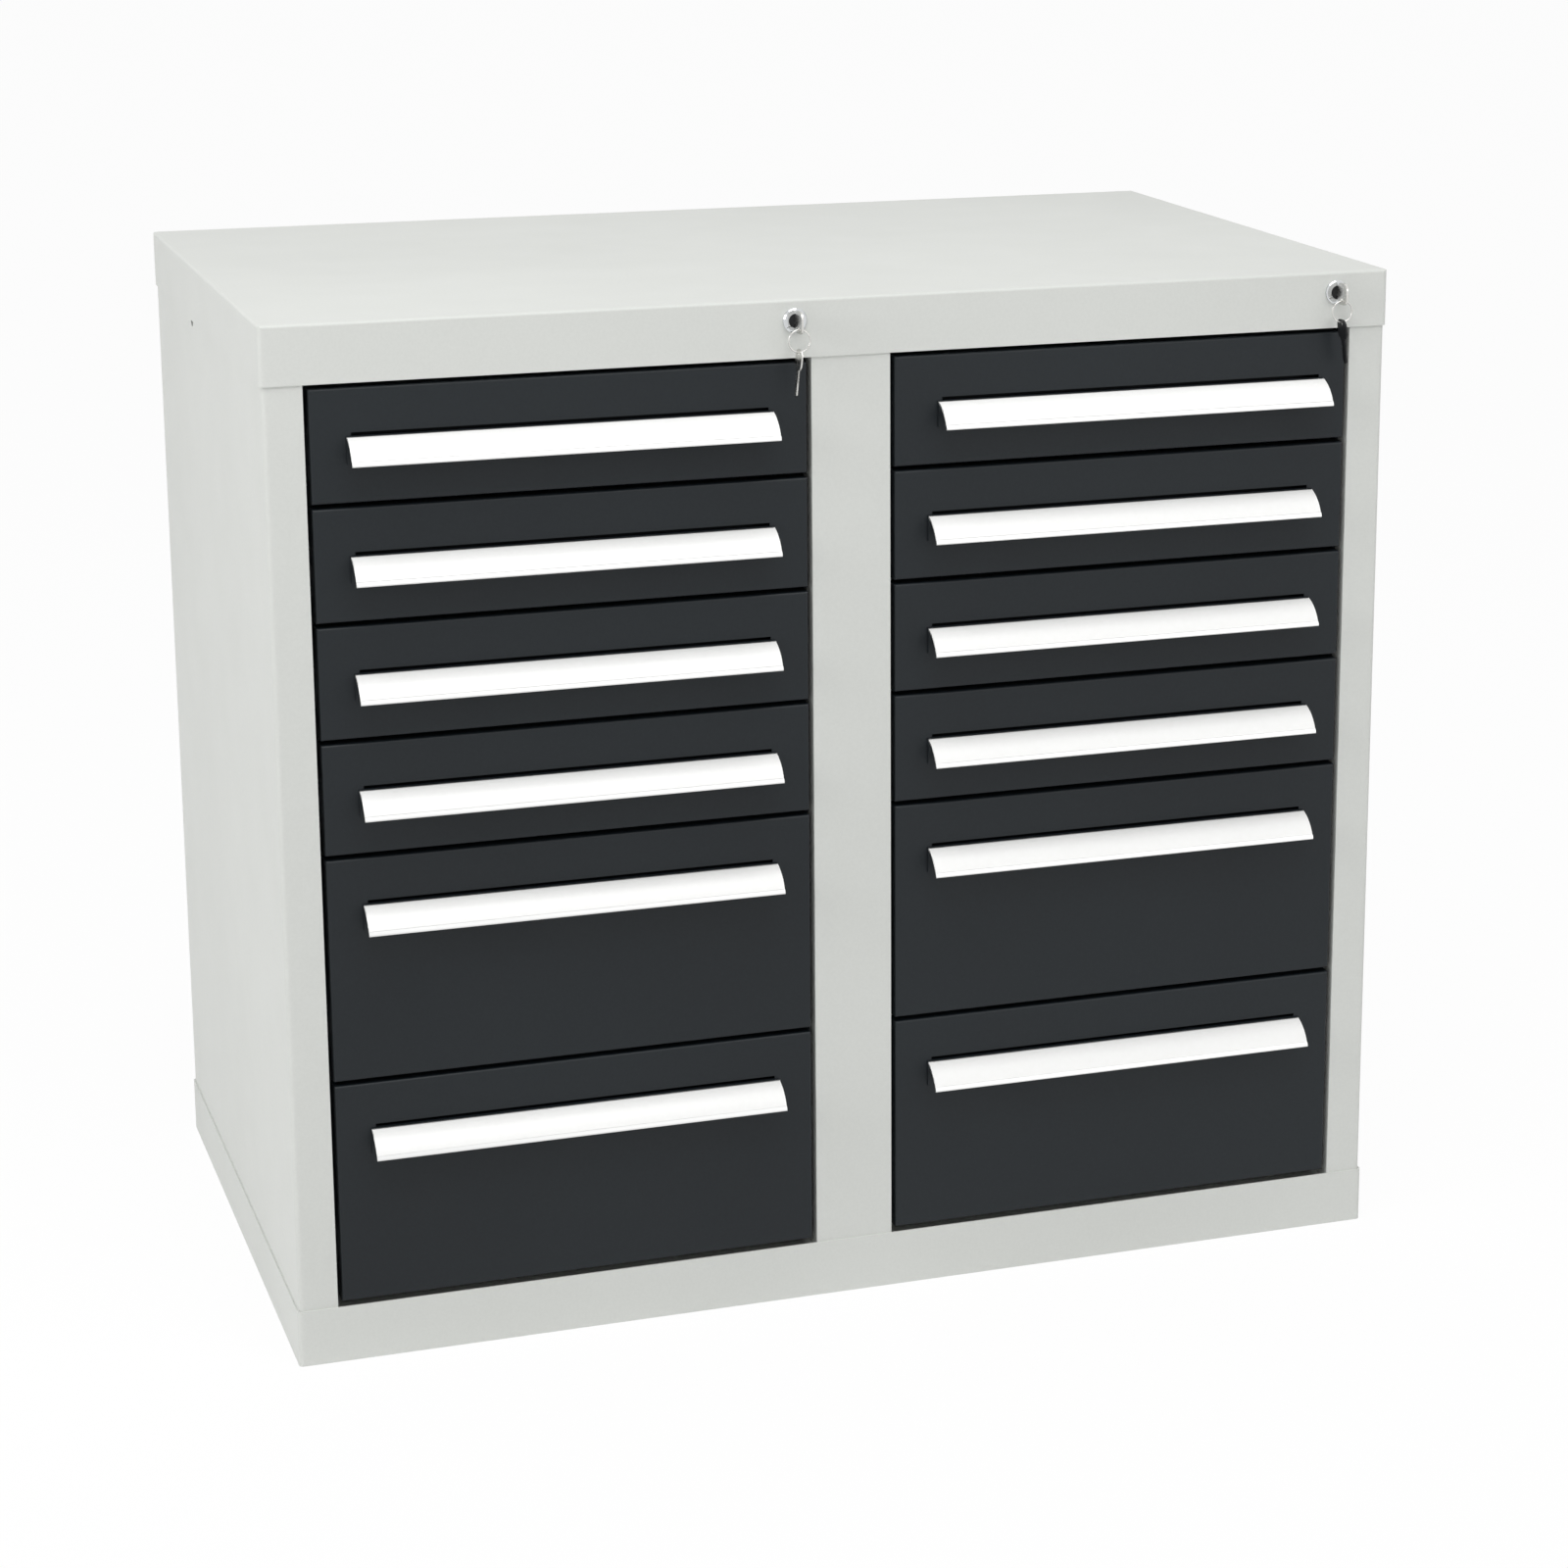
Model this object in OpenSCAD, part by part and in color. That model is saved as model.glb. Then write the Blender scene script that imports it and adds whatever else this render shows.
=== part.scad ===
// Two-bank sheet-metal workshop cabinet with twelve drawers.
// Millimetres, +Z up. The origin is on the floor under the middle of the cabinet,
// X runs along the front from left to right, and the fronts face -Y.

/* [Cabinet] */
// Overall width across the cover
cabinet_w = 1000; // [900:10:1200]
// Depth of the cabinet, without grips and keys
cabinet_d = 600; // [560:10:700]
// Overall height
cabinet_h = 900; // [840:10:1040]
// Height of the cover's skirt
cover_h = 50; // [46:1:60]
// Height of the base's skirt
base_h = 50; // [40:1:80]
// Sheet of the cover and the base
skirt_t = 1.5; // [1:0.1:2.5]
// Sheet of the casing and the partition
panel_t = 1.5; // [1:0.1:2.5]
// Radius of the upright corners
corner_r = 4; // [3:0.5:8]
// Radius of the cover's upper edge
cover_edge_r = 2.5; // [1.5:0.5:6]

/* [Front frame] */
// Face width of the left and right stiles
stile_w = 35; // [30:1:50]
// Face width of the mullion between the banks
mullion_w = 70; // [60:1:90]
// Depth of the stiles' flange behind the opening's edge
stile_return = 60; // [45:1:80]
// Width of the rear uprights that carry the slides
upright_w = 50; // [40:1:70]
// Diameter of the lifting hole under the cover's skirt
lift_hole_d = 13; // [8:1:20]
// Distance of the lifting hole from the back
lift_hole_back = 225; // [150:5:300]

/* [Base] */
// Width of the flange that the cabinet stands on
foot_flange = 30; // [20:1:50]
// Drop of the floor panel below the skirt's upper edge
floor_drop = 6.5; // [5:0.5:15]

/* [Drawers] */
// Height of each drawer in units, from the top
drawer_units = [1, 1, 1, 1, 2, 2];
// Gap between the fronts
front_gap = 4; // [3:0.5:6]
// Depth of the folded front
front_d = 18; // [14:1:20]
// Sheet of the folded front
front_t = 1.2; // [0.8:0.1:2]
// Bend radius of the front's edges
front_edge_r = 2; // [1:0.5:3]
// Width of the flange around the back of the front
front_return = 22; // [18:1:30]
// Sheet of the tray
tray_t = 1.2; // [0.8:0.1:2]
// Length of the tray behind the front
tray_l = 524; // [515:1:530]
// Height of the tray's floor above the front's lower edge
tray_lift = 5; // [3:1:10]
// Drop of the tray's rim below the front's upper edge
rim_drop = 12; // [10:1:20]
// Width of the hem along the tray's rim
hem_w = 9; // [5:1:12]

/* [Grips] */
// Length of a grip
grip_l = 362; // [300:1:380]
// Height of the grip's hood
grip_h = 20.5; // [18:0.5:24]
// Reach of the grip in front of the drawer
grip_reach = 24; // [20:0.5:28]
// Radius of the hood's arc
grip_r = 32; // [28:1:40]
// Distance from the front's upper edge to the grip
grip_drop = 40; // [30:1:50]
// Wall of the grip's profile
grip_t = 2.2; // [1.6:0.1:3]
// Height of the slot in the front that shows over the grip
slot_show = 3; // [2:0.5:4]
// Thickness of the label strip
label_t = 0.6; // [0.4:0.1:1]
// Distance of the label strip from the hood's edges
label_inset = 3; // [2:0.5:5]
// Step to the right of the upper right grip
top_right_grip_step = 9; // [0:1:20]

/* [Slides] */
// Length of a slide's members
slide_l = 500; // [450:10:505]
// Height of a slide
slide_h = 42; // [38:1:46]
// Room that a slide takes beside the tray
slide_w = 12.7; // [12.3:0.1:14]
// Steel of the slide's members
slide_t = 1.4; // [1.2:0.1:1.6]
// Bend radius on the outside of the members
slide_bend = 2; // [1.8:0.1:2.5]
// Diameter of the slide's balls
ball_d = 3.2; // [3:0.1:3.4]
// Distance between the balls in their cage
ball_pitch = 46; // [30:2:60]
// Depth of the grooves that the balls run in
groove = 0.5; // [0.3:0.1:0.6]
// Sheet of the ball cages
cage_t = 0.6; // [0.4:0.1:0.8]
// Height of the slide's centre line above the front's lower edge
slide_lift = 38; // [34:1:44]
// Setback of the slide behind the cabinet's front
slide_setback = 32; // [30:1:40]

/* [Locks] */
// Height of the locks below the top
lock_drop = 18; // [16:1:22]
// Distance of a lock from its bank's right edge
lock_inset = 15; // [13:1:20]
// Diameter of the lock's bezel
bezel_d = 21; // [19:0.5:24]
// Depth of the bezel in front of the cover
bezel_t = 3; // [2:0.5:5]
// Diameter of the lock's barrel
barrel_d = 17; // [15:0.5:18]
// Length of the barrel behind the cover's face
barrel_l = 20; // [16:1:22]
// Diameter of the plug
plug_d = 12; // [10:0.5:13]
// Throw radius of the cam pin
cam_r = 9; // [8:0.5:9.5]
// Diameter of the cam pin
pin_d = 4; // [3:0.5:4.5]
// Thickness of the lock bar's strip
bar_t = 1.8; // [1.5:0.1:2]
// Depth of the lock bar's strip
bar_d = 11; // [8:0.5:12]
// Height of a locking tab and its catch
catch_h = 8; // [6:0.5:9]
// Height of a catch above the front's lower edge
catch_lift = 66; // [64:1:72]

/* [Keys] */
// Diameter of the key ring
ring_d = 20; // [16:1:26]
// Wire of the key ring
ring_wire = 1.2; // [1:0.1:1.6]
// Thickness of a key
key_t = 1.6; // [1.2:0.1:2]
// Width of a key's bow
bow_w = 19; // [17:0.5:24]
// Width of a key's blade
blade_w = 6; // [5:0.5:8]
// Diameter of the eye that the ring hangs in
eye_d = 4; // [3:0.5:5]
// Drop of the eye below the middle of the bow
eye_drop = 5; // [4:0.5:6]

/* [Hidden] */
$fn = 48;

running = 0.3;   // clearance between pieces that move past each other
bearing = 0.05;  // radial clearance of the plugs in their barrels
seat = 0.1;      // gap under a piece that is riveted or welded to its neighbour
overlap = 1;     // what a cut runs past the face it opens

BANKS = ["left", "right"];
PIECES = ["front", "tray", "grip", "slides"];
DRAWERS = [for (i = [0 : len(drawer_units) - 1]) i];
function drawer_node(bank, i, piece) = str(BANKS[bank], "_drawer_", i + 1, "_", piece);
function total(list, n) = n == 0 ? 0 : list[n - 1] + total(list, n - 1);

// Key and grip reach in front of the cabinet, and the plane of the cabinet's face
key_gap = 1;
key_reach = bezel_t + key_gap + bow_w;
front_reach = max(grip_reach - skirt_t, key_reach);
face_y = (front_reach - cabinet_d) / 2;
back_y = face_y + cabinet_d;
frame_y = face_y + skirt_t;

// Openings and drawer fronts
opening_w = (cabinet_w - 2 * stile_w - mullion_w) / 2;
opening_top = cabinet_h - cover_h;
unit_h = (opening_top - base_h - front_gap) / total(drawer_units, len(drawer_units));
front_w = opening_w - 2 * front_gap;
floor_z = base_h - floor_drop;
function bank_x(bank) = (bank == 0 ? -1 : 1) * (mullion_w + opening_w) / 2;
function front_h(i) = drawer_units[i] * unit_h - front_gap;
function front_z(i) = opening_top - unit_h * total(drawer_units, i + 1);

// Trays
tray_w = opening_w - 2 * slide_w;
tray_y = frame_y + front_d;
function tray_z(i) = front_z(i) + tray_lift;
function tray_h(i) = front_h(i) - tray_lift - rim_drop;

// Slide sections: height of each member and where it stands across the slide.
// x is 0 on the cabinet's side and slide_w on the tray's.
member_gap = 1.6;
race = ball_d + running - 2 * groove;
middle_h = slide_h - 2 * slide_t - 2 * race;
inner_h = middle_h - 2 * slide_t - 2 * race;
outer_end = slide_w - 2 * member_gap;
middle_x = slide_t + member_gap;
middle_end = slide_w - member_gap;
inner_x = middle_x + slide_t + member_gap;
slide_y = face_y + slide_setback;

// The balls between two members: height of their centres, and their place across the slide
outer_ball_z = (middle_h + race) / 2;
inner_ball_z = (inner_h + race) / 2;
outer_ball_x = (middle_x + outer_end) / 2;
inner_ball_x = (inner_x + middle_end) / 2;

// Stops at the members' ends, between which a cage is caught when the slide is pulled out
stop_l = 6;
stop_end = 2;
stop_w = 12;
stop_room = 2;
cage_from = stop_end + stop_l + stop_room;
cage_l = slide_l / 2 - 2 * cage_from;
cage_play = (member_gap - cage_t) / 2;

// The hood's arc in Y and Z, from the back edge at the origin down to the lip.
// Angles are above the horizontal.
hood_chord = norm([grip_reach, grip_h]);
hood_rise = sqrt(grip_r * grip_r - hood_chord * hood_chord / 4) / hood_chord;
hood_y = grip_h * hood_rise - grip_reach / 2;
hood_z = -grip_reach * hood_rise - grip_h / 2;
back_angle = atan2(-hood_z, hood_y);
lip_angle = atan2(-grip_h - hood_z, grip_reach + hood_y);
label_margin = label_inset / grip_r * 180 / PI;
label_slack = running / grip_r * 180 / PI;

// The tongue of a grip behind the front's sheet, and the slot that it goes through
slot_inset = 4;
slot_w = grip_l - 2 * slot_inset;
tongue_h = 9;
function grip_z(i) = front_h(i) - grip_drop;
function grip_step(bank, i) = bank == 1 && i == 0 ? top_right_grip_step : 0;

// Locks
lock_z = cabinet_h - lock_drop;
throw = cam_r * sqrt(2);
cam_t = 2;
keyway_d = 4;
plug_end = face_y + barrel_l + running;
cam_y = plug_end + seat;
tab_y = cam_y + cam_t + overlap;
tab_t = 2;
catch_y = tab_y + tab_t + overlap;
catch_t = 1.5;
catch_arm = slide_w - bar_t - 3;
bar_y = frame_y + front_d + running;
bar_reach = slide_w - running - bar_t - overlap;
fork_t = 2;
fork_play = 0.5;
tab_lift = catch_lift + catch_h + 2.5;
function lock_x(bank) = bank_x(bank) + opening_w / 2 - lock_inset;
function bar_x(bank) = bank_x(bank) + opening_w / 2 - running;

// Keys
key_y = face_y - key_reach;
eye_y = key_y + bow_w / 2;
ring_r = (ring_d - ring_wire) / 2;
ring_top = lock_z - eye_drop - eye_d / 2 + ring_wire / 2 + running;

body_grey = "#D3D5CF";
side_grey = "#D6D8D3";
front_dark = "#333A3F";
tray_grey = "#C9CCC8";
zinc = "#B9BDBE";
chrome = "#C4C6C8";
nickel = "#A9A8A0";
grip_white = "#F2F2F0";

// A box between two opposite corners
module block(low, high) {
    translate(low) cube(high - low);
}

// A rectangle about the origin with round corners
module rounded_rect(size, r) {
    square(size - [2 * r, 0], center = true);
    square(size - [0, 2 * r], center = true);
    for (x = [-1, 1]) {
        for (y = [-1, 1]) {
            translate([x * (size[0] / 2 - r), y * (size[1] / 2 - r)]) circle(r);
        }
    }
}

// A rectangle from y = 0 to y = depth whose two corners at y = 0 are round
module rounded_end(width, depth, r) {
    translate([-width / 2, r]) square([width, depth - r]);
    translate([r - width / 2, 0]) square([width - 2 * r, depth]);
    for (x = [-1, 1]) {
        translate([x * (width / 2 - r), r]) circle(r);
    }
}

// A section drawn in Y and Z, run along X about x = 0
module along_x(length) {
    translate([-length / 2, 0, 0]) rotate([90, 0, 90]) linear_extrude(length) children();
}

// A section drawn in X and Z, run from y = 0 towards the back
module along_y(length) {
    translate([0, length, 0]) rotate([90, 0, 0]) linear_extrude(length) children();
}

// Places children at the plan centre of the cabinet
module at_plan_centre(z) {
    translate([0, face_y + cabinet_d / 2, z]) children();
}

// ---- Casing ----

// Plan section of the wrapped casing: sides, back, stiles with their returns,
// and the channels that carry the rear ends of the slides
module casing_section() {
    shell = [cabinet_w - 2 * skirt_t, cabinet_d - 2 * skirt_t];
    centre_y = face_y + cabinet_d / 2;
    difference() {
        translate([0, centre_y]) rounded_rect(shell, corner_r);
        translate([0, centre_y]) square(shell - 2 * [panel_t, panel_t], center = true);
        translate([0, frame_y]) square([cabinet_w - 2 * stile_w, 2 * panel_t + overlap], center = true);
    }
    for (side = [0, 1]) mirror([side, 0]) side_uprights();
}

// The right-hand stile return and rear channel
module side_uprights() {
    edge_x = cabinet_w / 2 - stile_w;
    panel_x = cabinet_w / 2 - skirt_t - panel_t;
    rear_y = slide_y + slide_l - upright_w;
    translate([edge_x, frame_y]) square([panel_t, stile_return]);
    translate([edge_x, frame_y + stile_return - panel_t]) square([stile_w / 3, panel_t]);
    translate([edge_x, rear_y]) square([panel_t, upright_w]);
    for (y = [rear_y, rear_y + upright_w - panel_t]) {
        translate([edge_x, y]) square([panel_x - edge_x, panel_t]);
    }
}

module casing() {
    color(side_grey) difference() {
        translate([0, 0, floor_z]) linear_extrude(cabinet_h - skirt_t - floor_z) casing_section();
        translate([-cabinet_w / 2 - overlap, back_y - lift_hole_back, opening_top])
            rotate([0, 90, 0])
                cylinder(d = lift_hole_d, h = cabinet_w + 2 * overlap);
    }
}

// ---- Cover ----

module top_cover() {
    color(body_grey) difference() {
        union() {
            difference() {
                cover_outside();
                at_plan_centre(opening_top - overlap)
                    linear_extrude(cover_h - skirt_t + overlap)
                        rounded_rect([cabinet_w, cabinet_d] - 2 * [skirt_t, skirt_t], corner_r - skirt_t);
            }
            cover_front_flange();
        }
        for (bank = [0, 1]) {
            translate([lock_x(bank), face_y - overlap, lock_z])
                along_y(skirt_t + 2 * overlap) circle(d = barrel_d + 2 * bearing);
        }
    }
}

// Closed form of the cover, with its upper edges and upright corners rounded
module cover_outside() {
    intersection() {
        at_plan_centre(opening_top) linear_extrude(cover_h)
            rounded_rect([cabinet_w, cabinet_d], corner_r);
        translate([0, face_y, cabinet_h])
            along_y(cabinet_d) mirror([0, 1]) rounded_end(cabinet_w, cover_h, cover_edge_r);
        at_plan_centre(cabinet_h)
            along_x(cabinet_w) mirror([0, 1]) rounded_end(cabinet_d, cover_h, cover_edge_r);
    }
}

// The skirt's lower edge is folded back over both openings
module cover_front_flange() {
    flange_d = front_d - front_t;
    for (bank = [0, 1]) {
        translate([bank_x(bank), face_y, opening_top])
            block([-opening_w / 2, skirt_t, 0], [opening_w / 2, flange_d, skirt_t]);
    }
}

// ---- Base ----

module base_plinth() {
    color(body_grey) {
        difference() {
            at_plan_centre(0) linear_extrude(base_h) rounded_rect([cabinet_w, cabinet_d], corner_r);
            at_plan_centre(-overlap) linear_extrude(base_h + 2 * overlap)
                rounded_rect([cabinet_w, cabinet_d] - 2 * [skirt_t, skirt_t], corner_r - skirt_t);
        }
        at_plan_centre(0) linear_extrude(skirt_t) foot_ring();
        at_plan_centre(floor_z - skirt_t) linear_extrude(skirt_t)
            rounded_rect([cabinet_w, cabinet_d] - [skirt_t, skirt_t], corner_r - skirt_t);
    }
}

module foot_ring() {
    difference() {
        rounded_rect([cabinet_w, cabinet_d], corner_r);
        square([cabinet_w, cabinet_d] - 2 * [foot_flange, foot_flange], center = true);
    }
}

// ---- Partition between the banks ----

module centre_partition() {
    depth = cabinet_d - 2 * skirt_t - panel_t;
    color(body_grey) translate([0, frame_y, floor_z]) linear_extrude(cabinet_h - skirt_t - floor_z)
        difference() {
            translate([-mullion_w / 2, 0]) square([mullion_w, depth]);
            translate([-mullion_w / 2 + panel_t, panel_t]) square([mullion_w - 2 * panel_t, depth]);
        }
}

// ---- Slides ----

// A bent channel section with its web at x = 0, open towards +x
module channel(width, height, sheet = slide_t) {
    difference() {
        rotate(-90) rounded_end(height, width, slide_bend);
        translate([sheet, 0]) rotate(-90)
            rounded_end(height - 2 * sheet, width, slide_bend - sheet);
    }
}

// The two grooves that a pair of ball rows runs in
module ball_grooves(x, z) {
    for (side = [-1, 1]) translate([x, side * z]) circle(d = ball_d + running);
}

// Children are drawn from the cabinet's side towards the tray, on both sides of a drawer
module both_slides(bank, i) {
    for (side = [0, 1]) {
        translate([bank_x(bank), slide_y, front_z(i) + slide_lift])
            mirror([side, 0, 0]) translate([-opening_w / 2, 0, 0]) children();
    }
}

module cabinet_runners() {
    color(zinc) for (bank = [0, 1]) {
        for (i = DRAWERS) {
            both_slides(bank, i) {
                along_y(slide_l) difference() {
                    channel(outer_end, slide_h);
                    ball_grooves(outer_ball_x, outer_ball_z);
                }
                slide_stop(stop_end, slide_t - seat, middle_x - running);
            }
        }
    }
}

// The members between the cabinet's and the tray's, with the ball cages that they run on
module middle_members(bank, i) {
    rear = slide_l - stop_end - stop_l;
    color(zinc) both_slides(bank, i) {
        along_y(slide_l) difference() {
            translate([middle_x, 0]) channel(middle_end - middle_x, middle_h);
            ball_grooves(outer_ball_x, outer_ball_z);
            ball_grooves(inner_ball_x, inner_ball_z);
        }
        slide_stop(rear, slide_t + running, middle_x + seat);
        slide_stop(stop_end, middle_x + slide_t - seat, inner_x - running);
        translate([0, slide_l - cage_from - cage_l, 0])
            ball_cage(slide_t + cage_play, outer_end - running, outer_ball_x, outer_ball_z);
        translate([0, cage_from, 0])
            ball_cage(middle_x + slide_t + cage_play, middle_end - running, inner_ball_x, inner_ball_z);
    }
}

// A lug that is pressed out of a member's web
module slide_stop(y, from, to) {
    block([from, y, -stop_w / 2], [to, y + stop_l, stop_w / 2]);
}

// Sheet cage between two places across the slide, with a row of balls along each flange
module ball_cage(from, to, x, z) {
    along_y(cage_l) translate([from, 0]) channel(to - from, 2 * z + cage_t, cage_t);
    for (side = [-1, 1]) {
        for (y = [ball_pitch / 2 : ball_pitch : cage_l]) translate([x, y, side * z]) sphere(d = ball_d);
    }
}

// ---- Drawers ----

// Folded pan with bent edges, a slot for the grip's tongue, and a flange around its back
// that is screwed to the tray
module drawer_front(bank, i) {
    height = front_h(i);
    step = grip_step(bank, i);
    color(front_dark) translate([bank_x(bank), frame_y, front_z(i)]) difference() {
        intersection() {
            linear_extrude(height) rounded_end(front_w, front_d, front_edge_r);
            translate([0, 0, height / 2])
                along_x(front_w) rotate(-90) rounded_end(height, front_d, front_edge_r);
        }
        block([front_t - front_w / 2, front_t, front_t],
            [front_w / 2 - front_t, front_d - front_t, height - front_t]);
        block([front_return - front_w / 2, front_t, front_return],
            [front_w / 2 - front_return, front_d + overlap, height - front_return]);
        block([step - slot_w / 2, -overlap, grip_z(i) - grip_t - seat],
            [step + slot_w / 2, front_t + overlap, grip_z(i) + slot_show]);
    }
}

// Tray section: floor, sides and the hems along the rim
module tray_section(height) {
    for (side = [0, 1]) {
        mirror([side, 0]) {
            translate([-tray_w / 2, 0]) square([tray_w / 2, tray_t]);
            translate([-tray_w / 2, 0]) square([tray_t, height]);
            translate([-tray_w / 2, height - tray_t]) square([hem_w, tray_t]);
        }
    }
}

module tray_box(i) {
    height = tray_h(i);
    rear_h = height - hem_w;
    along_y(tray_l) tray_section(height);
    block([-tray_w / 2, 0, 0], [tray_w / 2, tray_t, height]);
    block([-tray_w / 2, tray_l - tray_t, 0], [tray_w / 2, tray_l, rear_h]);
    block([-tray_w / 2, tray_l - hem_w, rear_h - tray_t], [tray_w / 2, tray_l, rear_h]);
}

// The catch on the tray's right side that the lock bar's tab stops
module catch(bank, i) {
    side_x = bank_x(bank) + tray_w / 2 + seat;
    translate([side_x, catch_y, front_z(i) + catch_lift]) {
        block([0, 0, 0], [catch_arm, catch_t, catch_h]);
        block([0, 0, 0], [catch_t, 2 * catch_h, catch_h]);
    }
}

module drawer_tray(bank, i) {
    color(tray_grey) {
        translate([bank_x(bank), tray_y, tray_z(i)]) tray_box(i);
        catch(bank, i);
    }
    color(zinc) both_slides(bank, i) {
        along_y(slide_l) difference() {
            translate([slide_w - seat, 0]) mirror([1, 0]) channel(slide_w - seat - inner_x, inner_h);
            ball_grooves(inner_ball_x, inner_ball_z);
        }
        slide_stop(slide_l - stop_end - stop_l, middle_x + slide_t + running, slide_w - slide_t);
    }
}

// ---- Grips ----

// Part of the hood's ring between two radii and two angles above the horizontal
module hood_arc(outer, inner, from, to) {
    reach = 2 * outer;
    translate([hood_y, hood_z]) intersection() {
        difference() {
            circle(outer, $fn = 144);
            circle(inner, $fn = 144);
        }
        polygon([[0, 0], reach * [-cos(from), sin(from)], reach * [-cos(to), sin(to)]]);
    }
}

// Grip section in Y and Z: the hood with a round lip and the recess for its label strip,
// and the flange that lies on the drawer's front
module grip_section() {
    recess = label_t + running / 2;
    lip_r = grip_r - grip_t / 2;
    difference() {
        union() {
            intersection() {
                hood_arc(grip_r, grip_r - grip_t, lip_angle, back_angle + 2);
                translate([-2 * grip_reach, -grip_h - grip_t]) square(2 * grip_reach);
            }
            translate([hood_y - lip_r * cos(lip_angle), hood_z + lip_r * sin(lip_angle)])
                circle(d = grip_t);
            translate([-grip_t, -grip_h - grip_t]) square([grip_t, grip_h + grip_t / 2]);
        }
        hood_arc(grip_r + overlap, grip_r - recess, lip_angle + label_margin, back_angle - label_margin);
    }
}

module label_section() {
    hood_arc(grip_r, grip_r - label_t, lip_angle + label_margin + label_slack,
        back_angle - label_margin - label_slack);
}

// The tongue goes through the front's slot and down behind the sheet
module tongue_section() {
    translate([-grip_t / 2, -grip_t]) square([grip_t / 2 + front_t + seat + grip_t, grip_t]);
    translate([front_t + seat, -tongue_h]) square([grip_t, tongue_h]);
}

module drawer_grip(bank, i) {
    color(grip_white)
        translate([bank_x(bank) + grip_step(bank, i), frame_y, front_z(i) + grip_z(i)]) {
            along_x(grip_l) grip_section();
            along_x(slot_w - 2 * running) tongue_section();
            along_x(grip_l - 2 * running) label_section();
        }
}

// ---- Locks ----

module lock_housings() {
    color(chrome) for (bank = [0, 1]) {
        translate([lock_x(bank), face_y, lock_z]) rotate([-90, 0, 0]) {
            rotate_extrude() housing_section();
            translate([0, 0, skirt_t]) barrel_nut();
        }
    }
}

// Half section of a bezel and barrel about the lock's axis, with z = 0 on the cover's face
module housing_section() {
    bore_r = plug_d / 2 + bearing;
    bevel = 1;
    polygon([
        [bore_r, -bezel_t],
        [bezel_d / 2 - bevel, -bezel_t],
        [bezel_d / 2, -bezel_t + bevel],
        [bezel_d / 2, 0],
        [barrel_d / 2, 0],
        [barrel_d / 2, barrel_l],
        [bore_r, barrel_l]
    ]);
}

module barrel_nut() {
    nut_t = 4;
    linear_extrude(nut_t) difference() {
        circle(d = bezel_d + 2, $fn = 6);
        circle(d = barrel_d + 2 * bearing);
    }
}

// The plug with its keyway, the key in it, and the cam with its pin at the plug's far end
module lock_plug(bank) {
    translate([lock_x(bank), 0, lock_z]) {
        color(nickel) {
            plug();
            key();
        }
        color(zinc) rotate([0, -45, 0]) {
            translate([0, cam_y, 0]) along_y(cam_t) cam_section();
            translate([cam_r, cam_y + cam_t + seat, 0])
                along_y(tab_y + tab_t + running - cam_y - cam_t) circle(d = pin_d);
        }
    }
}

module plug() {
    front = face_y - bezel_t;
    slot = [key_t, blade_w] + 2 * [seat, seat];
    difference() {
        translate([0, front, 0]) along_y(plug_end - front) circle(d = plug_d);
        translate([0, front - overlap, 0]) along_y(keyway_d + overlap) square(slot, center = true);
    }
}

// The key's bow and the part of its blade that shows, with the bow's eye off its middle
module key() {
    blade_end = face_y - bezel_t + keyway_d - seat;
    along_x(key_t) difference() {
        union() {
            translate([eye_y, 0]) rounded_rect([bow_w, bow_w], bow_w / 3);
            translate([eye_y, -blade_w / 2]) square([blade_end - eye_y, blade_w]);
        }
        translate([eye_y, -eye_drop]) circle(d = eye_d);
    }
}

// Arm of the cam, with a hub wider than the plug and a round end at x = cam_r for the pin
module cam_section() {
    arm_w = pin_d + 2 * overlap;
    circle(d = plug_d + 2 * overlap);
    translate([0, -arm_w / 2]) square([cam_r, arm_w]);
    translate([cam_r, 0]) circle(d = arm_w);
}

// Wire ring that hangs in the eye of the key
module key_ring(bank) {
    color(nickel) translate([lock_x(bank), eye_y, ring_top - ring_r]) rotate([90, 0, 0])
        rotate_extrude() translate([ring_r, 0]) circle(d = ring_wire, $fn = 24);
}

// Strip along the opening's right edge, with a tab for each catch and a fork for the cam pin
// riveted to it
module lock_bar(bank) {
    fork_z = lock_z + cam_r / sqrt(2);
    fork_gap = pin_d / 2 + fork_play;
    bottom = floor_z + throw + overlap;
    color(zinc) translate([bar_x(bank), 0, 0]) {
        block([-bar_t, bar_y, bottom], [0, bar_y + bar_d, fork_z + fork_gap + fork_t]);
        for (i = DRAWERS) bar_tab(front_z(i) + tab_lift, catch_h);
        for (z = [fork_z + fork_gap, fork_z - fork_gap - fork_t]) bar_tab(z, fork_t);
    }
}

module bar_tab(z, height) {
    block([-bar_reach, tab_y, z], [-bar_t - seat, tab_y + tab_t, z + height]);
}

casing();
top_cover();
base_plinth();
centre_partition();
cabinet_runners();
lock_housings();
for (bank = [0, 1]) {
    lock_plug(bank);
    key_ring(bank);
    lock_bar(bank);
    for (i = DRAWERS) {
        drawer_front(bank, i);
        drawer_tray(bank, i);
        drawer_grip(bank, i);
        middle_members(bank, i);
    }
}
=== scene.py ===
"""Looks of a two-bank steel drawer cabinet: finishes, small fittings, studio and camera.

Lengths are metres in the cabinet's own frame: X along the front, -Y out of the drawers, +Z up.
"""
import math

import bmesh
import bpy
from mathutils import Matrix, Vector


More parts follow.
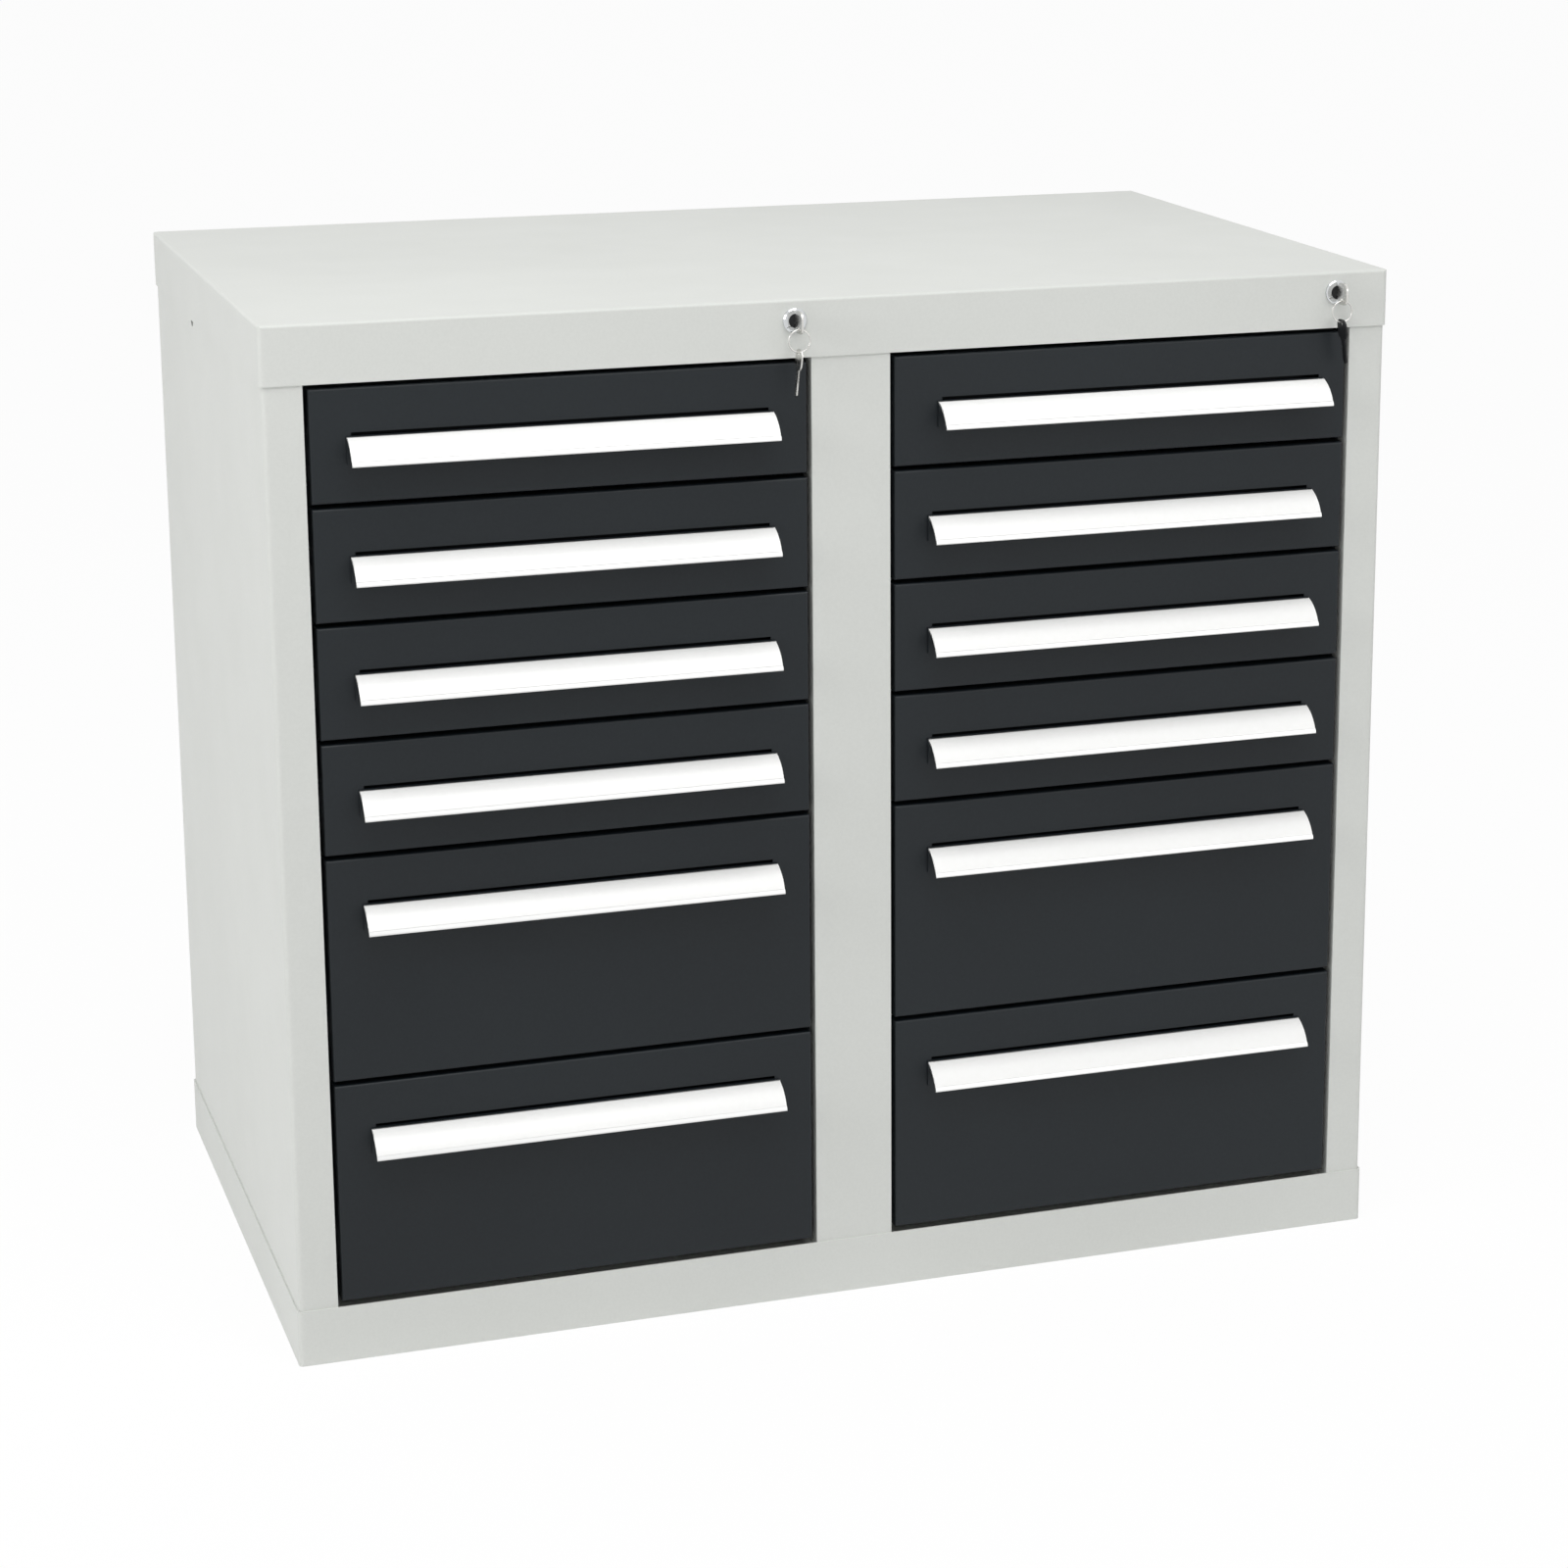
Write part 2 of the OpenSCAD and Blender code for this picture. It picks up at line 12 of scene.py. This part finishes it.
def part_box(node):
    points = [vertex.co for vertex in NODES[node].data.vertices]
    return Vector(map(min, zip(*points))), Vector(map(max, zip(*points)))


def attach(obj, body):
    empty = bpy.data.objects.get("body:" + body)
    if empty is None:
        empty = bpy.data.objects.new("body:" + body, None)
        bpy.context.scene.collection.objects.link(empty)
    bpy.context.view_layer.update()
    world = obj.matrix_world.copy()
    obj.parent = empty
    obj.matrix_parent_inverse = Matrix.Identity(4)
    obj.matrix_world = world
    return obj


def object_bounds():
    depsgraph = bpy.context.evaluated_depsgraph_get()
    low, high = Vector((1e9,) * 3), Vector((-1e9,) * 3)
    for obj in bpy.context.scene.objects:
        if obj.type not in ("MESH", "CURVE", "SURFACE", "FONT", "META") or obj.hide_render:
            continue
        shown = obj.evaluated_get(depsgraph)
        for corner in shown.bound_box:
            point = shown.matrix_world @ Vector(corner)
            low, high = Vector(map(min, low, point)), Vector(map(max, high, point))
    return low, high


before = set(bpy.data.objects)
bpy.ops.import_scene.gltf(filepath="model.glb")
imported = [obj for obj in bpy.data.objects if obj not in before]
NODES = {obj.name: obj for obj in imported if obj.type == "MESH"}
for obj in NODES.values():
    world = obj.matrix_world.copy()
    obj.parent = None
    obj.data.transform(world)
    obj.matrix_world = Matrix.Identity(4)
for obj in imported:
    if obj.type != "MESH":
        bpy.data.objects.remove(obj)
cad_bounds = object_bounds()
MM = 0.001

BANKS = ("left", "right")
DRAWER_NAMES = [f"{bank}_drawer_{number}" for bank in BANKS for number in range(1, 7)]


# ---- Shader helpers ----


def linear(hex_colour):
    """Linear RGBA of an sRGB hex colour."""
    channels = [int(hex_colour[i:i + 2], 16) / 255 for i in (1, 3, 5)]
    curve = [c / 12.92 if c <= 0.04045 else ((c + 0.055) / 1.055) ** 2.4 for c in channels]
    return (*curve, 1.0)


def add(tree, kind, settings=None, links=None):
    """Adds a node. settings go to its properties or sockets, links to its sockets."""
    node = tree.nodes.new(kind)
    for name, value in (settings or {}).items():
        if isinstance(name, str) and hasattr(node, name):
            setattr(node, name, value)
        else:
            node.inputs[name].default_value = value
    for name, source in (links or {}).items():
        tree.links.new(source, node.inputs[name])
    return node


def material(name, settings):
    """A new material with its Principled shader, and object coordinates in metres."""
    made = bpy.data.materials.new(name)
    made.use_nodes = True
    tree = made.node_tree
    tree.nodes.clear()
    shader = add(tree, "ShaderNodeBsdfPrincipled", settings)
    add(tree, "ShaderNodeOutputMaterial", links={"Surface": shader.outputs["BSDF"]})
    where = add(tree, "ShaderNodeTexCoord").outputs["Object"]
    return made, tree, shader, where


def blotches(tree, where, size_mm, detail=2.0, stretch=(1, 1, 1)):
    """Noise whose blotches are about size_mm across, stretched along the axes."""
    scaled = add(tree, "ShaderNodeMapping", {"Scale": Vector(stretch)}, {"Vector": where})
    return add(tree, "ShaderNodeTexNoise", {"Scale": 0.5 / (size_mm * MM), "Detail": detail},
               {"Vector": scaled.outputs["Vector"]}).outputs["Fac"]


def ramp(tree, source, low, high, start=0.3, end=0.7):
    """Maps a value between start and end to one between low and high."""
    return add(tree, "ShaderNodeMapRange",
               {"From Min": start, "From Max": end, "To Min": low, "To Max": high},
               {"Value": source}).outputs["Result"]


def tint(tree, source, dark, light):
    """Blends two colours by a value."""
    mix = add(tree, "ShaderNodeMix", {"data_type": "RGBA"})
    mix.inputs[6].default_value = linear(dark)
    mix.inputs[7].default_value = linear(light)
    tree.links.new(source, mix.inputs[0])
    return mix.outputs[2]


def relief(tree, shader, source, depth_mm, strength):
    """Bumps the surface by a value, over a depth in millimetres."""
    bump = add(tree, "ShaderNodeBump", {"Distance": depth_mm * MM, "Strength": strength},
               {"Height": source})
    tree.links.new(bump.outputs["Normal"], shader.inputs["Normal"])


# ---- Finishes ----


def powder_coat(name, dark, light, roughness, spec):
    """Polyester powder coat, sprayed and baked: satin, with a faint orange peel.

    The real peel is about 1.5 mm from crest to crest; it is drawn at 3 mm so that it shows.
    """
    made, tree, shader, where = material(
        name, {"IOR": 1.5, "Specular IOR Level": spec})
    cloud = blotches(tree, where, 160)
    grain = blotches(tree, where, 1.2, 1.0)
    shade = add(tree, "ShaderNodeMath", {"operation": "ADD"},
                {0: ramp(tree, cloud, 0, 0.6), 1: ramp(tree, grain, 0, 0.4)}).outputs[0]
    tree.links.new(tint(tree, shade, dark, light), shader.inputs["Base Color"])
    tree.links.new(ramp(tree, blotches(tree, where, 30), roughness - 0.04, roughness + 0.04),
                   shader.inputs["Roughness"])
    relief(tree, shader, blotches(tree, where, 3, 1.0), 0.04, 0.5)
    return made


def zinc_plated_steel():
    """Bright zinc on cold-rolled steel: a grey metal with fine rolling lines along its length."""
    made, tree, shader, where = material("zinc_plated_steel", {"Metallic": 1.0})
    lines = blotches(tree, where, 0.8, 2.0, (1, 0.02, 1))
    cloud = blotches(tree, where, 25)
    tree.links.new(tint(tree, cloud, "#A9ADAF", "#C3C6C6"), shader.inputs["Base Color"])
    tree.links.new(ramp(tree, lines, 0.3, 0.42), shader.inputs["Roughness"])
    relief(tree, shader, lines, 0.02, 0.4)
    return made


def anodised_aluminium():
    """Extruded aluminium, matt anodised: pale, with die lines along the grip."""
    made, tree, shader, where = material("anodised_aluminium", {"Metallic": 1.0})
    lines = blotches(tree, where, 0.5, 2.0, (0.01, 1, 1))
    tree.links.new(tint(tree, lines, "#DFE0DF", "#E9E9E8"), shader.inputs["Base Color"])
    tree.links.new(ramp(tree, lines, 0.34, 0.44), shader.inputs["Roughness"])
    relief(tree, shader, lines, 0.01, 0.3)
    return made


def label_strip():
    """White paper behind a matt clear PVC strip: an even white with a soft sheen."""
    made, tree, shader, where = material(
        "label_strip", {"IOR": 1.46, "Coat Weight": 0.3, "Coat Roughness": 0.25})
    fibres = blotches(tree, where, 2.5, 3.0)
    tree.links.new(tint(tree, fibres, "#F6F6F4", "#FBFBFA"), shader.inputs["Base Color"])
    tree.links.new(ramp(tree, fibres, 0.38, 0.46), shader.inputs["Roughness"])
    return made


def chrome_plate():
    """Bright chrome on a turned bezel: a mirror with the faintest turning marks."""
    made, tree, shader, where = material("chrome_plate", {"Metallic": 1.0})
    smear = blotches(tree, where, 4)
    tree.links.new(tint(tree, smear, "#C9CCCE", "#DADCDD"), shader.inputs["Base Color"])
    tree.links.new(ramp(tree, smear, 0.06, 0.14), shader.inputs["Roughness"])
    return made


def nickel_plate():
    """Nickel on a stamped brass key: warm bright metal, dulled by handling."""
    made, tree, shader, where = material("nickel_plate", {"Metallic": 1.0})
    smear = blotches(tree, where, 5, 3.0)
    tree.links.new(tint(tree, smear, "#C4C3BF", "#E2E1DE"), shader.inputs["Base Color"])
    tree.links.new(ramp(tree, smear, 0.18, 0.34), shader.inputs["Roughness"])
    return made


def black_passivated_steel():
    """Zinc with a black chromate: a dull, near-black metal with faint cloudy patches."""
    made, tree, shader, where = material(
        "black_passivated_steel", {"IOR": 1.5, "Specular IOR Level": 0.35})
    cloud = blotches(tree, where, 12, 3.0)
    tree.links.new(tint(tree, cloud, "#0B0C0D", "#15171A"), shader.inputs["Base Color"])
    tree.links.new(ramp(tree, cloud, 0.4, 0.55), shader.inputs["Roughness"])
    return made


def ball_cage_steel():
    """Drawn strip and hardened balls, bright and lightly greased."""
    made, tree, shader, where = material("ball_cage_steel", {"Metallic": 1.0})
    grease = blotches(tree, where, 6, 2.0)
    tree.links.new(tint(tree, grease, "#8F9294", "#B4B7B8"), shader.inputs["Base Color"])
    tree.links.new(ramp(tree, grease, 0.16, 0.3), shader.inputs["Roughness"])
    return made


BODY_PAINT = powder_coat("light_grey_powder_coat", "#D2D4D0", "#D8DAD6", 0.5, 0.4)
TRAY_PAINT = powder_coat("tray_grey_powder_coat", "#C9CCC8", "#CFD2CE", 0.5, 0.4)
FRONT_PAINT = powder_coat("anthracite_powder_coat", "#151A1E", "#1A2024", 0.44, 0.3)
ZINC = zinc_plated_steel()
CAGE = ball_cage_steel()
BLACK = black_passivated_steel()
ALUMINIUM = anodised_aluminium()
LABEL = label_strip()
CHROME = chrome_plate()
NICKEL = nickel_plate()


# ---- Finishes on the CAD pieces ----


def islands(mesh):
    """Groups the faces of a mesh by the solid they belong to."""
    parent = list(range(len(mesh.polygons)))

    def root(i):
        while parent[i] != i:
            parent[i] = parent[parent[i]]
            i = parent[i]
        return i

    owner = {}
    for face in mesh.polygons:
        for v in face.vertices:
            key = tuple(round(c * 1e6) for c in mesh.vertices[v].co)
            first = owner.setdefault(key, face.index)
            parent[root(face.index)] = root(first)
    groups = {}
    for face in mesh.polygons:
        groups.setdefault(root(face.index), []).append(face)
    return list(groups.values())


def size_of(mesh, faces):
    """Extent of some faces along X, Y and Z."""
    points = [mesh.vertices[v].co for face in faces for v in face.vertices]
    return [max(p[axis] for p in points) - min(p[axis] for p in points) for axis in range(3)]


def finish(node, *materials, choose=None):
    """Gives a CAD piece its materials. choose picks one for a solid of the given size."""
    mesh = NODES[node].data
    mesh.materials.clear()
    for made in materials:
        mesh.materials.append(made)
    if choose:
        for faces in islands(mesh):
            index = choose(size_of(mesh, faces))
            for face in faces:
                face.material_index = index


def refinish(node, made, low_y, high_y):
    """Gives the faces of the first finish that lie between two depths another of the node's own."""
    mesh = NODES[node].data
    index = mesh.materials.find(made.name)
    for face in mesh.polygons:
        depths = [mesh.vertices[v].co.y for v in face.vertices]
        if face.material_index == 0 and low_y < min(depths) and max(depths) < high_y:
            face.material_index = index


# Sizes in metres that tell the solids of one CAD piece apart
SLIDE_MAX_W = 0.1
LABEL_MAX_DEPTH = 0.024
CAGE_MAX_L = 0.4
NUT_MAX_DEPTH = 0.01
KEY_MAX_W = 0.002
CAM_MAX_DEPTH = 0.02


def tray_finish(size):
    """The tray itself is wide; its slide members and its catch are narrow."""
    return 0 if size[0] > SLIDE_MAX_W else 1


def grip_finish(size):
    """The extrusion has its flange and tongue behind the label strip, so it is deeper."""
    return 0 if size[1] > LABEL_MAX_DEPTH else 1


def slide_finish(size):
    """The members run the whole length, and the cages half of it."""
    return 0 if size[1] > CAGE_MAX_L else 1


def housing_finish(size):
    """The bezel and barrel are long, and the nut behind the cover is flat."""
    return 0 if size[1] > NUT_MAX_DEPTH else 1


def plug_finish(size):
    """The plug is long and round, the key is thin, and the cam and its pin are neither."""
    if size[0] < KEY_MAX_W:
        return 1
    return 0 if size[1] > CAM_MAX_DEPTH else 2


# Thickness of the grip's flange, and how far a face may lie off its plane, in millimetres
GRIP_T, SLACK = 2.2, 0.1

for node in ("casing", "top_cover", "base_plinth", "centre_partition"):
    finish(node, BODY_PAINT)
finish("cabinet_runners", ZINC)
finish("lock_housings", CHROME, ZINC, choose=housing_finish)
for bank in BANKS:
    finish(f"lock_plug_{bank}", BLACK, NICKEL, ZINC, choose=plug_finish)
    finish(f"key_ring_{bank}", NICKEL)
    finish(f"lock_bar_{bank}", BLACK)
for drawer in DRAWER_NAMES:
    finish(f"{drawer}_front", FRONT_PAINT)
    finish(f"{drawer}_tray", TRAY_PAINT, ZINC, FRONT_PAINT, choose=tray_finish)
    finish(f"{drawer}_grip", ALUMINIUM, LABEL, FRONT_PAINT, choose=grip_finish)
    finish(f"{drawer}_slides", ZINC, CAGE, choose=slide_finish)
    # The tray's wall behind the slot and the grip's flange behind the hood get the front's dark
    # paint: painted shade, standing in for the shadow in the slot above the grip and under the hood
    front_low, front_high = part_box(f"{drawer}_front")
    refinish(f"{drawer}_tray", FRONT_PAINT, front_high[1] - MM, front_high[1] + SLACK * MM)
    refinish(f"{drawer}_grip", FRONT_PAINT, front_low[1] - (GRIP_T + SLACK) * MM, front_high[1])


# ---- Fittings ----


def piece(name, data, made, body):
    """A new piece with its finish, which rides on a body."""
    data.materials.append(made)
    new = bpy.data.objects.new(name, data)
    bpy.context.scene.collection.objects.link(new)
    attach(new, body)
    return new


def arc(centre, radius, start, stop, steps=8):
    """Points in millimetres along an arc, with its angles in degrees."""
    angles = [math.radians(start + (stop - start) * i / steps) for i in range(steps + 1)]
    return [(centre[0] + radius * math.cos(a), centre[1] + radius * math.sin(a)) for a in angles]


# The spare key, in millimetres: its eye and the metal over it, its thickness and bevelled edge
EYE_D, EYE_RIM, EYE_SIDES = 4.0, 3.6, 24
KEY_T, KEY_EDGE = 1.4, 0.2
# Its bow, its blade with the pointed tip, and its cuts with half their width at mouth and floor
BOW_W, BLADE_W, BLADE_L, TIP_L = 17.0, 6.5, 21.0, 2.0
FIRST_CUT, CUT_PITCH, CUT_MOUTH, CUT_FLOOR = 4.5, 3.2, 1.1, 0.4
KEY_CUTS = (1.2, 2.0, 0.8, 1.6, 1.2)


def key_outline():
    """Outline of the spare key, with v = 0 at the middle of its eye and the blade down."""
    half, corner, low = BOW_W / 2, BOW_W / 3, EYE_RIM - BOW_W
    blade = BLADE_W / 2
    points = arc((half - corner, EYE_RIM - corner), corner, 0, 90)
    points += arc((corner - half, EYE_RIM - corner), corner, 90, 180)
    points += arc((corner - half, low + corner), corner, 180, 270)
    points += [(-blade, low), (-blade, low - BLADE_L), (0, low - BLADE_L - TIP_L)]
    for number, depth in reversed(list(enumerate(KEY_CUTS))):
        v = low - FIRST_CUT - CUT_PITCH * number
        points += [(blade, v - CUT_MOUTH), (blade - depth, v - CUT_FLOOR)]
        points += [(blade - depth, v + CUT_FLOOR), (blade, v + CUT_MOUTH)]
    points += [(blade, low)]
    points += arc((half - corner, low + corner), corner, 270, 360)
    return points


def spare_key(bank, lean, made):
    """A cut key that hangs by its eye from the ring, edge on to the front, leaning by degrees."""
    flat = bpy.data.curves.new(f"spare_key_{bank}", "CURVE")
    flat.dimensions = "2D"
    flat.fill_mode = "BOTH"
    flat.extrude = (KEY_T / 2 - KEY_EDGE) * MM
    flat.bevel_depth = KEY_EDGE * MM
    flat.bevel_resolution = 2
    last = 360 - 360 / EYE_SIDES
    for outline in (key_outline(), arc((0, 0), EYE_D / 2, 0, last, EYE_SIDES - 1)):
        spline = flat.splines.new("POLY")
        spline.points.add(len(outline) - 1)
        for point, (u, v) in zip(spline.points, outline):
            point.co = (u * MM, v * MM, 0, 1)
        spline.use_cyclic_u = True
    low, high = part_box(f"key_ring_{bank}")
    wire = high[1] - low[1]
    eye = Vector(((low[0] + high[0]) / 2, (low[1] + high[1]) / 2, low[2] + wire - EYE_D * MM / 2))
    key = piece(f"spare_key_{bank}", flat, made, f"lock_plug_{bank}")
    upright = Matrix(((0, 0, 1), (1, 0, 0), (0, 1, 0))).to_4x4()
    key.matrix_world = Matrix.Translation(eye) @ Matrix.Rotation(math.radians(lean), 4, "Y") @ upright


spare_key("left", 6, NICKEL)
# The right key is nickel like the left one; it gets the near-black finish as painted shade, for the
# shadow it hangs in
spare_key("right", -7, BLACK)

# Half profile of a domed head, in shares of its radius and height, from its middle to its rim
RECESS_END = 0.35
HEAD_PROFILE = [(0.0, 1.0), (RECESS_END, 0.96), (0.68, 0.8), (0.9, 0.48), (1.0, 0.12), (1.0, 0.0)]
HEAD_SIDES = 20
# How deep its cross recess is in the middle and at the ends of its arms, in shares of the height
RECESS_MIDDLE, RECESS_ARM = 0.55, 0.45


def domed_head(bm, place, matrix, radius, height, recess):
    """A turned head with its dome along +Z before matrix is applied, and a cross recess if asked."""
    rings = []
    for share, rise in HEAD_PROFILE:
        ring = []
        for step in range(HEAD_SIDES if share else 1):
            turn = 2 * math.pi * step / HEAD_SIDES
            on_arm = share == RECESS_END and step % (HEAD_SIDES // 4) == 0
            dip = 0.0
            if recess and (share == 0 or on_arm):
                dip = RECESS_ARM if share else RECESS_MIDDLE
            point = Vector((radius * share * math.cos(turn), radius * share * math.sin(turn),
                            height * (rise - dip)))
            ring.append(bm.verts.new(place + matrix @ point))
        rings.append(ring)
    for inner, outer in zip(rings, rings[1:]):
        for step in range(HEAD_SIDES):
            after = (step + 1) % HEAD_SIDES
            if len(inner) == 1:
                bm.faces.new((inner[0], outer[step], outer[after]))
            else:
                bm.faces.new((inner[step], outer[step], outer[after], inner[after]))
    bm.faces.new(rings[-1][::-1])


# Sizes of the tray and its slides, in millimetres
TRAY_T, FRONT_GAP, SLIDE_W, SLIDE_L, SLIDE_LIFT = 1.2, 4.0, 12.7, 500.0, 38.0
# Rivets: radius and height in millimetres, and places in shares of the slide's length
RIVET_R, RIVET_H = 3.2, 1.3
RIVET_PLACES = (0.07, 0.36, 0.65, 0.93)
# Screws: radius, height and distance from the front's lower and upper edge in millimetres, and
# places in shares of the tray's width
SCREW_R, SCREW_H, SCREW_UP, SCREW_DOWN = 3.6, 2.0, 15.0, 24.0
SCREW_PLACES = (-0.46, -0.16, 0.16, 0.46)


def tray_fasteners(drawer):
    """Rivets through the tray's walls into its slide members, and the screws of the front."""
    low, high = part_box(f"{drawer}_front")
    middle = (low[0] + high[0]) / 2
    tray_y = high[1] + TRAY_T * MM
    wall = (high[0] - low[0]) / 2 + (FRONT_GAP - SLIDE_W - TRAY_T) * MM
    bm = bmesh.new()
    for side in (-1, 1):
        face = Matrix(((0, 0, -side), (0, 1, 0), (side, 0, 0)))
        for share in RIVET_PLACES:
            place = Vector((middle + side * wall, tray_y + share * SLIDE_L * MM,
                            low[2] + SLIDE_LIFT * MM))
            domed_head(bm, place, face, RIVET_R * MM, RIVET_H * MM, False)
    face = Matrix(((1, 0, 0), (0, 0, 1), (0, -1, 0)))
    for share in SCREW_PLACES:
        for z in (low[2] + SCREW_UP * MM, high[2] - SCREW_DOWN * MM):
            place = Vector((middle + share * 2 * wall, tray_y, z))
            domed_head(bm, place, face, SCREW_R * MM, SCREW_H * MM, True)
    bmesh.ops.recalc_face_normals(bm, faces=bm.faces)
    mesh = bpy.data.meshes.new(f"{drawer}_fasteners")
    bm.to_mesh(mesh)
    bm.free()
    for face in mesh.polygons:
        face.use_smooth = True
    piece(f"{drawer}_fasteners", mesh, ZINC, drawer)


for drawer in DRAWER_NAMES:
    tray_fasteners(drawer)


# ---- Studio ----

# Half the floor's width, and how much of it shows as plain white rather than as lit paper
FLOOR_REACH, WHITE_SHARE = 40.0, 0.95
# Strength of the surroundings as light on the cabinet, where 1 is what the camera sees
AMBIENT = 0.42
# What the lamps face
MIDDLE = (0.0, 0.0, 0.45)


def seen_directly(tree):
    """1 for what the camera sees straight, in metal or through glass, and 0 for plain light."""
    path = add(tree, "ShaderNodeLightPath")
    seen = path.outputs["Is Camera Ray"]
    for ray in ("Is Glossy Ray", "Is Transmission Ray"):
        seen = add(tree, "ShaderNodeMath", {"operation": "MAXIMUM"},
                   {0: seen, 1: path.outputs[ray]}).outputs[0]
    return seen


def studio_floor():
    """A wide white floor that shows white, and keeps a soft shadow under the cabinet."""
    mesh = bpy.data.meshes.new("studio_floor")
    corners = [(x * FLOOR_REACH, y * FLOOR_REACH, 0) for x, y in ((-1, -1), (1, -1), (1, 1), (-1, 1))]
    mesh.from_pydata(corners, [], [(0, 1, 2, 3)])
    floor = bpy.data.objects.new("studio_floor", mesh)
    bpy.context.scene.collection.objects.link(floor)
    made = bpy.data.materials.new("white_paper_sweep")
    made.use_nodes = True
    tree = made.node_tree
    tree.nodes.clear()
    paper = add(tree, "ShaderNodeBsdfDiffuse", {"Color": linear("#FBFBFB")})
    white = add(tree, "ShaderNodeEmission", {"Color": (1, 1, 1, 1), "Strength": 1.0})
    share = add(tree, "ShaderNodeMath", {"operation": "MULTIPLY", 1: WHITE_SHARE},
                {0: seen_directly(tree)})
    mixed = add(tree, "ShaderNodeMixShader", links={
        0: share.outputs[0], 1: paper.outputs[0], 2: white.outputs[0]})
    add(tree, "ShaderNodeOutputMaterial", links={"Surface": mixed.outputs[0]})
    mesh.materials.append(made)


def studio_world():
    """Even white surroundings: plain light on the object, white to the camera and to metal."""
    world = bpy.data.worlds.new("white_studio")
    world.use_nodes = True
    bpy.context.scene.world = world
    tree = world.node_tree
    tree.nodes.clear()
    strength = ramp(tree, seen_directly(tree), AMBIENT, 1.0, 0.0, 1.0)
    light = add(tree, "ShaderNodeBackground", {"Color": (1, 1, 1, 1)}, {"Strength": strength})
    add(tree, "ShaderNodeOutputWorld", links={"Surface": light.outputs[0]})


def softbox(name, place, size, watts):
    """A square area lamp at a place, facing the cabinet's middle."""
    lamp = bpy.data.lights.new(name, "AREA")
    lamp.shape = "SQUARE"
    lamp.size = size
    lamp.energy = watts
    box = bpy.data.objects.new(name, lamp)
    box.location = place
    box.rotation_euler = (Vector(MIDDLE) - Vector(place)).to_track_quat("-Z", "Y").to_euler()
    bpy.context.scene.collection.objects.link(box)


studio_world()
studio_floor()
softbox("overhead_softbox", (-0.2, -1.5, 3.5), 2.4, 60)
softbox("left_softbox", (-4.0, -1.0, 2.2), 2.0, 57)
softbox("front_softbox", (2.8, -4.0, 2.2), 2.4, 22)


# ---- Camera ----

# The camera's place from the cabinet's front left foot, and its yaw, pitch and roll in degrees
FROM_FOOT = (-0.4664, -2.9764, 1.3728)
CAMERA_TURN = (-19.38, 13.65, -0.10)
# The photo's width and the lens's focal length in the photo's pixels
PHOTO_PIXELS, FOCAL_PIXELS = 1600, 3816
SENSOR_W, LENS_SHIFT = 36.0, -0.1
# How far the keys stand out of the cover, which is how far the box reaches past the feet
KEY_REACH = 0.023


def photo_camera():
    """The photo's viewpoint: left of and above the cabinet, looking right and down."""
    foot = Vector((cad_bounds[0][0], cad_bounds[0][1] + KEY_REACH, 0.0))
    yaw, pitch, roll = (math.radians(angle) for angle in CAMERA_TURN)
    ahead = math.cos(pitch)
    forward = Vector((-math.sin(yaw) * ahead, math.cos(yaw) * ahead, -math.sin(pitch)))
    turn = forward.to_track_quat("-Z", "Y").to_matrix() @ Matrix.Rotation(-roll, 3, "Z")
    camera = bpy.data.objects.new("photo_camera", bpy.data.cameras.new("photo_camera"))
    camera.matrix_world = Matrix.Translation(foot + Vector(FROM_FOOT)) @ turn.to_4x4()
    camera.data.sensor_width = SENSOR_W
    camera.data.lens = FOCAL_PIXELS / PHOTO_PIXELS * SENSOR_W
    camera.data.shift_x = LENS_SHIFT
    camera.data.shift_y = LENS_SHIFT
    bpy.context.scene.collection.objects.link(camera)
    bpy.context.scene.camera = camera


photo_camera()

bpy.context.scene.view_settings.view_transform = "Standard"
